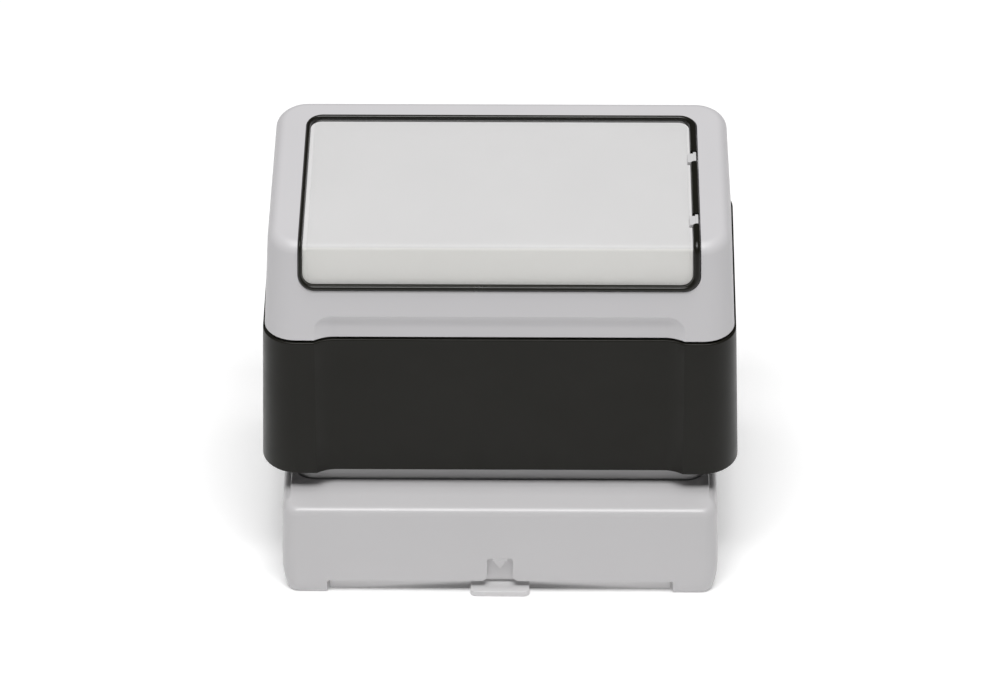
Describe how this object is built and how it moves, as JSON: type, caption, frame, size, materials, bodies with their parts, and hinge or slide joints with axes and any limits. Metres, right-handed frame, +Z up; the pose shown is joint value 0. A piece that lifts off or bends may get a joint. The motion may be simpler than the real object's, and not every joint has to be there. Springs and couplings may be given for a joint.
{
  "type": "pre-inked hand stamp",
  "caption": "Rectangular pre-inked hand stamp in its cap: black grip body, grey slanted top with a hinged clear label cover, sprung press action.",
  "frame": {"origin": "centre of the cap's footprint on the surface it stands on", "axes": "+Z up, the front with the thumb tab faces -Y, +X along the long side to the right seen from the front"},
  "size_m": [0.0742, 0.053, 0.0624],
  "materials": {
    "cap_grey": "satin",
    "cover_grey": "satin",
    "body_black": "satin",
    "frame_black": "gloss",
    "paper": "matte",
    "clear": "gloss",
    "holder_grey": "satin",
    "holder_black": "satin",
    "felt": "matte",
    "die_rubber": "matte",
    "steel": "satin"
  },
  "bodies": {
    "cap": {"cap_shell": "cap_grey", "cap_base": "cap_grey"},
    "skirt": {"skirt": "holder_grey", "spring_1": "steel", "spring_2": "steel", "spring_3": "steel", "spring_4": "steel"},
    "grip": {"grip_body": "body_black", "top_cover": "cover_grey", "label_frame": "frame_black", "id_label": "paper", "die_holder": "holder_grey", "die_frame": "holder_black", "ink_pad": "felt", "die": "die_rubber", "screw_1": "steel", "screw_2": "steel", "screw_3": "steel", "screw_4": "steel"},
    "label_cover": {"label_cover": "clear"}
  },
  "joints": [
    {"name": "cap_pull", "type": "slide", "parent": "cap", "child": "skirt", "axis": [0, 0, 1], "range_m": [0, 0.04]},
    {"name": "press", "type": "slide", "parent": "skirt", "child": "grip", "axis": [0, 0, -1], "range_m": [0, 0.0025], "stiffness_N_per_m": 1500, "springref_m": -0.004, "deforming": ["spring_1", "spring_2", "spring_3", "spring_4"]},
    {"name": "cover_hinge", "type": "hinge", "parent": "grip", "child": "label_cover", "pos_m": [0.03003, -0.00246, 0.06082], "axis": [-0.0096, 0.9986, 0.0523], "range_deg": [0, 110]}
  ]
}
